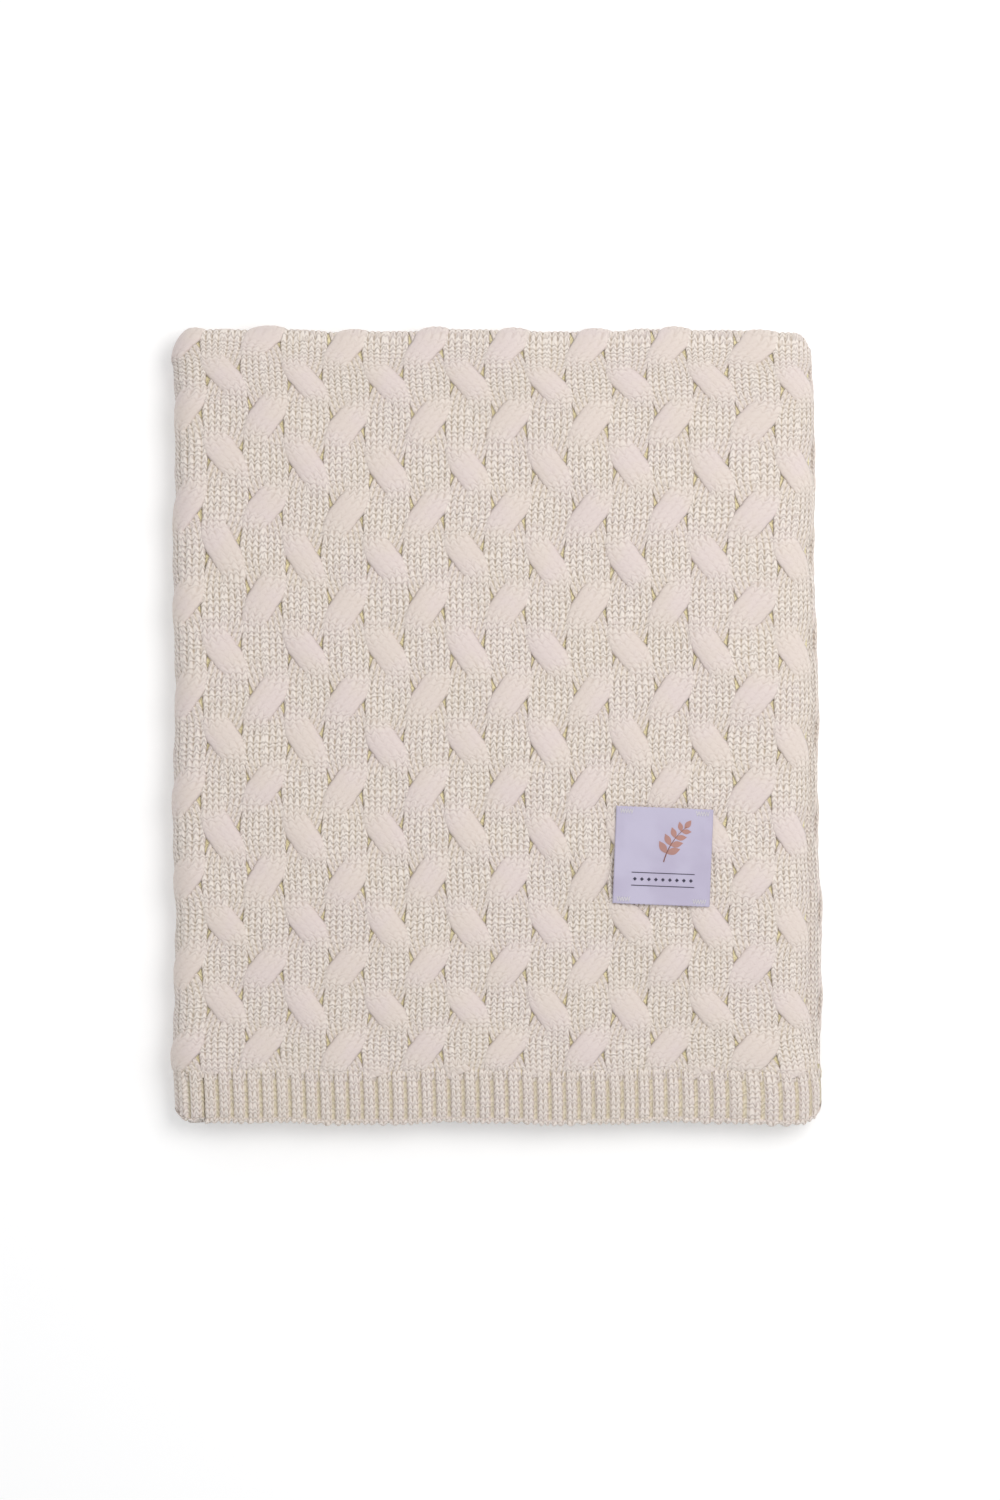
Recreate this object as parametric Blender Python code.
"""A cable-knit throw blanket, folded in quarters and lying flat.

The knitted panel is folded once across its middle (the top folds) and then once along its
middle (the side folds), so it lies as four leaves. From the top down they are the upper outer,
upper inner, lower inner and lower outer leaf. The upper two open about the side fold like the
cover of a book. +X is across the fold, +Y points from the hems to the top folds, +Z is up.
"""

import math

import bmesh
import bpy
from mathutils import Matrix, Vector

# Driving dimensions, in metres
FOLDED_WIDTH = 0.404  # from the side fold to the widest point of the open side
FOLDED_LENGTH = 0.495  # from the hems' cast-off edge to the top folds
LEAF_THICKNESS = 0.0088  # one layer of cable knit, cables included
LEAF_GAP = 0.0004  # air between two leaves that lie on each other
SEAM_GAP = 0.0003  # hairline between two regions of the panel
HEM_HEIGHT = 0.033  # ribbed band at each end of the panel
INNER_FLARE = 0.0065  # the inner leaves are this much wider at the hem than at the fold
OUTER_DRAW_IN = 0.0035  # the outer leaves, which go round the fold, end this much shorter
CORNER_RADIUS = 0.012  # free corners of the hems
EDGE_ROUND = 0.0026  # rounded free edges of a leaf
FOLD_STEPS = 20  # facets in a half turn of fabric

LABEL_SIDE = 0.060
LABEL_THICKNESS = 0.0008
LABEL_CENTRE = Vector((0.1026, -0.0803))
LABEL_TURN = math.radians(-2.3)
STITCH_LENGTH = 0.0045
STITCH_DIAMETER = 0.0008
STITCH_INSET = Vector((0.0045, 0.0028))  # from the label's sides and from its folded ends

# Places that follow from them
PILE_HEIGHT = 4 * LEAF_THICKNESS + 3 * LEAF_GAP
MID_HEIGHT = PILE_HEIGHT / 2
LEFT = -FOLDED_WIDTH / 2
BOTTOM = -FOLDED_LENGTH / 2
TOP = FOLDED_LENGTH / 2
HEM_TOP = BOTTOM + HEM_HEIGHT
INNER_RADIUS = LEAF_GAP / 2  # inside of the tightest turn
TURN_RADIUS = INNER_RADIUS + LEAF_THICKNESS  # outside of a turn of one leaf
CREASE_X = LEFT + PILE_HEIGHT / 2  # line that the upper half opens about
TOP_CREASE_Y = TOP - TURN_RADIUS
RIGHT_AT_TOP = FOLDED_WIDTH / 2 - INNER_FLARE
RIGHT_AT_HEM = {
    "inner": RIGHT_AT_TOP + INNER_FLARE,
    "outer": RIGHT_AT_TOP - OUTER_DRAW_IN,
}

KNIT_COLOUR = (0.80, 0.755, 0.665)
RIB_COLOUR = (0.78, 0.73, 0.635)
LABEL_COLOUR = (0.78, 0.755, 0.79)
STITCH_COLOUR = (0.90, 0.89, 0.87)


def clear_scene():
    for old in list(bpy.data.objects):
        bpy.data.objects.remove(old, do_unlink=True)


def make_material(name, colour, roughness):
    material = bpy.data.materials.new(name)
    material.use_nodes = True
    shader = material.node_tree.nodes["Principled BSDF"]
    shader.inputs["Base Color"].default_value = (*colour, 1.0)
    shader.inputs["Roughness"].default_value = roughness
    shader.inputs["Metallic"].default_value = 0.0
    return material


def add_object(name, bm, colour, roughness=0.9, parent=None):
    """Turns a bmesh, drawn in world coordinates, into a named sub-part."""
    bmesh.ops.recalc_face_normals(bm, faces=bm.faces)
    mesh = bpy.data.meshes.new(name)
    bm.to_mesh(mesh)
    bm.free()
    mesh.shade_smooth()
    mesh.set_sharp_from_angle(angle=math.radians(40))
    mesh.materials.append(make_material(name, colour, roughness))
    made = bpy.data.objects.new(name, mesh)
    bpy.context.scene.collection.objects.link(made)
    if parent is not None:
        mesh.transform(Matrix.Translation(-parent.location))
        made.parent = parent
    return made


def right_edge(layer, y):
    """X of a leaf's free side at y: it slants from the top fold to the hem, then runs straight."""
    share = min(1.0, (TOP - y) / (TOP - HEM_TOP))
    return RIGHT_AT_TOP + (RIGHT_AT_HEM[layer] - RIGHT_AT_TOP) * share


def round_edges(bm, edges, radius, segments):
    bmesh.ops.bevel(
        bm,
        geom=edges,
        offset=radius,
        offset_type="OFFSET",
        segments=segments,
        profile=0.5,
        affect="EDGES",
        material=-1,
    )


def on_free_side(edge, layer):
    """True for an edge that runs along the free side or the cast-off edge of a leaf."""
    ends = [v.co for v in edge.verts]
    flat = abs(ends[0].z - ends[1].z) < EDGE_ROUND / 10
    middle = (ends[0] + ends[1]) / 2
    at_side = middle.x > right_edge(layer, middle.y) - CORNER_RADIUS
    at_hem = middle.y < BOTTOM + CORNER_RADIUS
    along_seam = abs(ends[0].y - ends[1].y) < EDGE_ROUND / 10 and middle.y > BOTTOM + CORNER_RADIUS
    return flat and (at_side or at_hem) and not along_seam


def leaf_region(layer, y_low, y_high, z_low, has_free_corner):
    """One flat region of the panel: a leaf between its hem and its fold, or a hem."""
    x_low = CREASE_X + SEAM_GAP
    bm = bmesh.new()
    outline = [
        (x_low, y_low),
        (right_edge(layer, y_low), y_low),
        (right_edge(layer, y_high), y_high),
        (x_low, y_high),
    ]
    face = bm.faces.new([bm.verts.new((x, y, z_low)) for x, y in outline])
    raised = bmesh.ops.extrude_face_region(bm, geom=[face])
    lifted = [v for v in raised["geom"] if isinstance(v, bmesh.types.BMVert)]
    bmesh.ops.translate(bm, vec=(0, 0, LEAF_THICKNESS), verts=lifted)
    if has_free_corner:
        upright = [e for e in bm.edges if abs(e.verts[0].co.z - e.verts[1].co.z) > LEAF_THICKNESS / 2]
        corner = [e for e in upright if e.verts[0].co.x > 0 and e.verts[0].co.y < y_low + SEAM_GAP]
        round_edges(bm, corner, CORNER_RADIUS, 6)
    round_edges(bm, [e for e in bm.edges if on_free_side(e, layer)], EDGE_ROUND, 3)
    return bm


def turn_of_fabric(profile, centre, axis):
    """Sweeps a flat profile half a turn about an axis, as fabric goes round a fold."""
    bm = bmesh.new()
    face = bm.faces.new([bm.verts.new(corner) for corner in profile])
    geom = [face, *face.edges, *face.verts]
    bmesh.ops.spin(
        bm, geom=geom, cent=centre, axis=axis, angle=math.pi, steps=FOLD_STEPS, use_duplicate=False
    )
    return bm


def top_fold(z_middle):
    """The half turn that joins an outer leaf to its inner leaf, along X."""
    centre = Vector((0, TOP_CREASE_Y + SEAM_GAP, z_middle))
    outside = TURN_RADIUS - SEAM_GAP
    profile = [
        (x, centre.y, z_middle - radius)
        for x, radius in (
            (CREASE_X + SEAM_GAP, INNER_RADIUS),
            (RIGHT_AT_TOP, INNER_RADIUS),
            (RIGHT_AT_TOP, outside),
            (CREASE_X + SEAM_GAP, outside),
        )
    ]
    bm = turn_of_fabric(profile, centre, Vector((1, 0, 0)))
    rim = [e for e in bm.edges if min(v.co.x for v in e.verts) > RIGHT_AT_TOP - SEAM_GAP / 10]
    rim = [e for e in rim if min((v.co - centre).yz.length for v in e.verts) > outside - SEAM_GAP / 10]
    round_edges(bm, rim, EDGE_ROUND, 3)
    return bm


def side_fold(inner_radius, outer_radius, y_high):
    """The half turn that joins an upper leaf to its lower leaf, along Y."""
    centre = Vector((CREASE_X, 0, MID_HEIGHT))
    profile = [
        (CREASE_X, y, MID_HEIGHT - radius)
        for y, radius in (
            (BOTTOM, inner_radius),
            (y_high, inner_radius),
            (y_high, outer_radius),
            (BOTTOM, outer_radius),
        )
    ]
    bm = turn_of_fabric(profile, centre, Vector((0, 1, 0)))
    rims = []
    for edge in bm.edges:
        ends = [v.co for v in edge.verts]
        radii = [math.hypot(p.x - CREASE_X, p.z - MID_HEIGHT) for p in ends]
        along = abs(ends[0].y - ends[1].y) < SEAM_GAP
        if along and min(radii) > outer_radius - SEAM_GAP / 10:
            rims.append(edge)
    round_edges(bm, rims, EDGE_ROUND, 3)
    return bm


def label_frame(offset, height):
    """World place of a point on the label, from its offset to the label's middle."""
    turned = Matrix.Rotation(LABEL_TURN, 2) @ Vector(offset)
    return Vector((LABEL_CENTRE.x + turned.x, LABEL_CENTRE.y + turned.y, height))


def woven_label():
    bm = bmesh.new()
    size = (LABEL_SIDE, LABEL_SIDE, LABEL_THICKNESS)
    bmesh.ops.create_cube(bm, size=1.0, matrix=Matrix.Diagonal((*size, 1.0)))
    upright = [e for e in bm.edges if abs(e.verts[0].co.z - e.verts[1].co.z) > LABEL_THICKNESS / 2]
    round_edges(bm, upright, LABEL_THICKNESS, 3)
    height = PILE_HEIGHT + SEAM_GAP + LABEL_THICKNESS / 2
    place = Matrix.Translation(label_frame((0, 0), height)) @ Matrix.Rotation(LABEL_TURN, 4, "Z")
    bmesh.ops.transform(bm, matrix=place, verts=bm.verts)
    return bm


def label_stitch(side, end):
    """A short bar of thread over the label, near one of its corners."""
    radius = STITCH_DIAMETER / 2
    bm = bmesh.new()
    bmesh.ops.create_cone(
        bm,
        cap_ends=True,
        segments=12,
        radius1=radius,
        radius2=radius,
        depth=STITCH_LENGTH,
        matrix=Matrix.Rotation(math.radians(90), 4, "Y"),
    )
    tips = [e for e in bm.edges if abs(e.verts[0].co.x - e.verts[1].co.x) < radius / 10]
    round_edges(bm, tips, radius / 2, 2)
    offset = (side * (LABEL_SIDE / 2 - STITCH_INSET.x), end * (LABEL_SIDE / 2 - STITCH_INSET.y))
    height = PILE_HEIGHT + LABEL_THICKNESS + 2 * SEAM_GAP + radius
    place = Matrix.Translation(label_frame(offset, height)) @ Matrix.Rotation(LABEL_TURN, 4, "Z")
    bmesh.ops.transform(bm, matrix=place, verts=bm.verts)
    return bm


def build_half(half, outer_z, inner_z, parent):
    """An outer and an inner leaf with their hems, and the top fold that joins them."""
    for layer, z_low in (("outer", outer_z), ("inner", inner_z)):
        leaf = leaf_region(layer, HEM_TOP + SEAM_GAP, TOP_CREASE_Y, z_low, False)
        add_object(f"{half}_{layer}_leaf", leaf, KNIT_COLOUR, parent=parent)
        hem = leaf_region(layer, BOTTOM, HEM_TOP, z_low, True)
        add_object(f"{half}_{layer}_hem", hem, RIB_COLOUR, parent=parent)
    z_middle = (outer_z + inner_z + LEAF_THICKNESS) / 2
    add_object(f"{half}_top_fold", top_fold(z_middle), KNIT_COLOUR, parent=parent)


def build_side_folds():
    outer_turn = TURN_RADIUS + LEAF_GAP + LEAF_THICKNESS
    outer = side_fold(TURN_RADIUS + LEAF_GAP, outer_turn, TOP - EDGE_ROUND)
    add_object("outer_side_fold", outer, KNIT_COLOUR)
    inner = side_fold(INNER_RADIUS, TURN_RADIUS, TOP_CREASE_Y)
    add_object("inner_side_fold", inner, KNIT_COLOUR)


def build_label(parent):
    add_object("woven_label", woven_label(), LABEL_COLOUR, roughness=0.45, parent=parent)
    for end_name, end in (("top", 1), ("bottom", -1)):
        for side_name, side in (("left", -1), ("right", 1)):
            stitch = label_stitch(side, end)
            name = f"label_stitch_{end_name}_{side_name}"
            add_object(name, stitch, STITCH_COLOUR, roughness=0.6, parent=parent)


def main():
    clear_scene()
    crease = bpy.data.objects.new("side_crease", None)
    crease.location = (CREASE_X, 0, MID_HEIGHT)
    bpy.context.scene.collection.objects.link(crease)

    step = LEAF_THICKNESS + LEAF_GAP
    build_half("lower", 0.0, step, None)
    build_half("upper", 3 * step, 2 * step, crease)
    build_side_folds()
    build_label(crease)


main()
